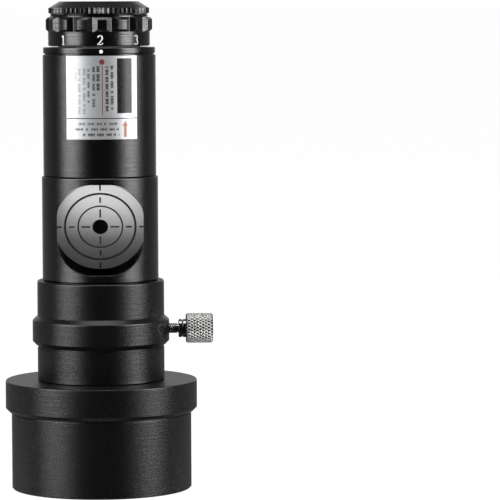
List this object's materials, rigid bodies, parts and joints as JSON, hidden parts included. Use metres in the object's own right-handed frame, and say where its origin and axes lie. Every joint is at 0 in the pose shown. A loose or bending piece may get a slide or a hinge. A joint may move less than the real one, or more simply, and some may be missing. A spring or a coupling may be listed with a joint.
{
  "type": "laser collimator",
  "caption": "Laser collimator for a telescope, with a target window, a brightness dial and a clamped focuser adapter.",
  "frame": {"origin": "on the optical axis at the lower face of the 2 inch barrel", "axes": "+Z along the optical axis from the barrel towards the battery cap, -Y out of the target window, +X along the thumbscrew"},
  "size_m": [0.0586, 0.054, 0.1373],
  "materials": {
    "black_anodised": "black anodised, fine bead blast over turning lines",
    "bare_aluminium": "bare, fine turned and lightly brushed",
    "brass": "machined",
    "nickel_plate": "bright nickel plate over a diamond knurl",
    "screw_steel": "machined",
    "spring_steel": "drawn wire",
    "label_foil": "satin silver foil",
    "dark_ink": "printed",
    "red_ink": "printed",
    "white_paint": "filled enamel",
    "circuit_board": "solder mask",
    "gold_plate": "thin gold plate",
    "black_plastic": "moulded",
    "white_plastic": "turned, low friction",
    "ceramic_body": "matte",
    "black_rubber": "moulded",
    "lens_glass": "polished and coated",
    "wire_insulation": "extruded",
    "spring_bronze": "rolled sheet",
    "cell_steel": "pressed and nickel plated"
  },
  "bodies": {
    "adapter": {"adapter_barrel": "black_anodised", "adapter_sleeve": "black_anodised"},
    "clamp_ring": {"compression_ring": "brass"},
    "screw_pad": {"pressure_pad": "brass"},
    "thumbscrew": {"thumbscrew": "nickel_plate"},
    "collimator": {"lower_body": "black_anodised", "target_plate": "bare_aluminium", "target_screw": "screw_steel", "main_tube": "black_anodised", "label": "label_foil", "index_ring": "black_anodised", "index_dot": "white_paint", "detent_ball": "screw_steel", "detent_spring": "spring_steel", "switch_board": "circuit_board", "contact_pads": "gold_plate", "driver_chip": "black_plastic", "resistors": "ceramic_body", "board_spacer": "black_plastic", "pivot_bush": "bare_aluminium"},
    "pivot": {"pivot_ring": "black_rubber"},
    "laser_module": {"module_housing": "brass", "lens_barrel": "brass", "collimating_lens": "lens_glass", "lens_spring": "spring_steel", "diode_holder": "brass", "laser_diode": "gold_plate", "driver_board": "circuit_board", "leads": "wire_insulation"},
    "aim_screw_front": {"aim_screw_front": "screw_steel"},
    "aim_screw_left": {"aim_screw_left": "screw_steel"},
    "aim_screw_right": {"aim_screw_right": "screw_steel"},
    "dial": {"brightness_dial": "black_anodised", "glide_washer": "white_plastic", "circlip": "spring_steel", "wiper": "spring_bronze", "wiper_carrier": "white_plastic", "contact_post": "brass", "battery_cup": "black_plastic", "negative_contact": "spring_bronze", "coin_cell": "cell_steel"},
    "cap_seal": {"cap_seal_ring": "black_rubber", "cap_spring": "spring_steel"},
    "cap": {"battery_cap": "black_anodised"}
  },
  "joints": [
    {"name": "collimator_swivel", "type": "hinge", "parent": "adapter", "child": "clamp_ring", "pos_m": [0, 0, 0.045], "axis": [0, 0, 1], "continuous": true},
    {"name": "collimator_slide", "type": "slide", "parent": "clamp_ring", "child": "collimator", "axis": [0, 0, 1], "range_m": [0, 0.04]},
    {"name": "thumbscrew_slide", "type": "slide", "parent": "adapter", "child": "screw_pad", "axis": [1, 0, 0], "range_m": [0, 0.001]},
    {"name": "thumbscrew_turn", "type": "hinge", "parent": "screw_pad", "child": "thumbscrew", "pos_m": [0.022, 0, 0.045], "axis": [1, 0, 0], "range_deg": [0, 721]},
    {"name": "dial_turn", "type": "hinge", "parent": "collimator", "child": "dial", "pos_m": [0, 0, 0.1248], "axis": [0, 0, -1], "range_deg": [-90, 225]},
    {"name": "cap_lift", "type": "slide", "parent": "dial", "child": "cap_seal", "axis": [0, 0, 1], "range_m": [0, 0.00225]},
    {"name": "cap_turn", "type": "hinge", "parent": "cap_seal", "child": "cap", "pos_m": [0, 0, 0.133], "axis": [0, 0, 1], "range_deg": [0, 1081]},
    {"name": "aim_x", "type": "hinge", "parent": "collimator", "child": "pivot", "pos_m": [0, 0, 0.0966], "axis": [1, 0, 0], "range_deg": [-0.6, 0.6]},
    {"name": "aim_y", "type": "hinge", "parent": "pivot", "child": "laser_module", "pos_m": [0, 0, 0.0966], "axis": [0, 1, 0], "range_deg": [-0.6, 0.6]},
    {"name": "aim_screw_front_slide", "type": "slide", "parent": "collimator", "child": "aim_screw_front", "axis": [0, -1, 0], "range_m": [0, 0.001]},
    {"name": "aim_screw_right_slide", "type": "slide", "parent": "collimator", "child": "aim_screw_right", "axis": [0.866, 0.5, 0], "range_m": [0, 0.003]},
    {"name": "aim_screw_left_slide", "type": "slide", "parent": "collimator", "child": "aim_screw_left", "axis": [-0.866, 0.5, 0], "range_m": [0, 0.003]}
  ],
  "couplings": [
    {"joint": "thumbscrew_turn", "follows": "thumbscrew_slide", "rad_per_m": 12566},
    {"joint": "cap_turn", "follows": "cap_lift", "rad_per_m": 8377.6}
  ]
}
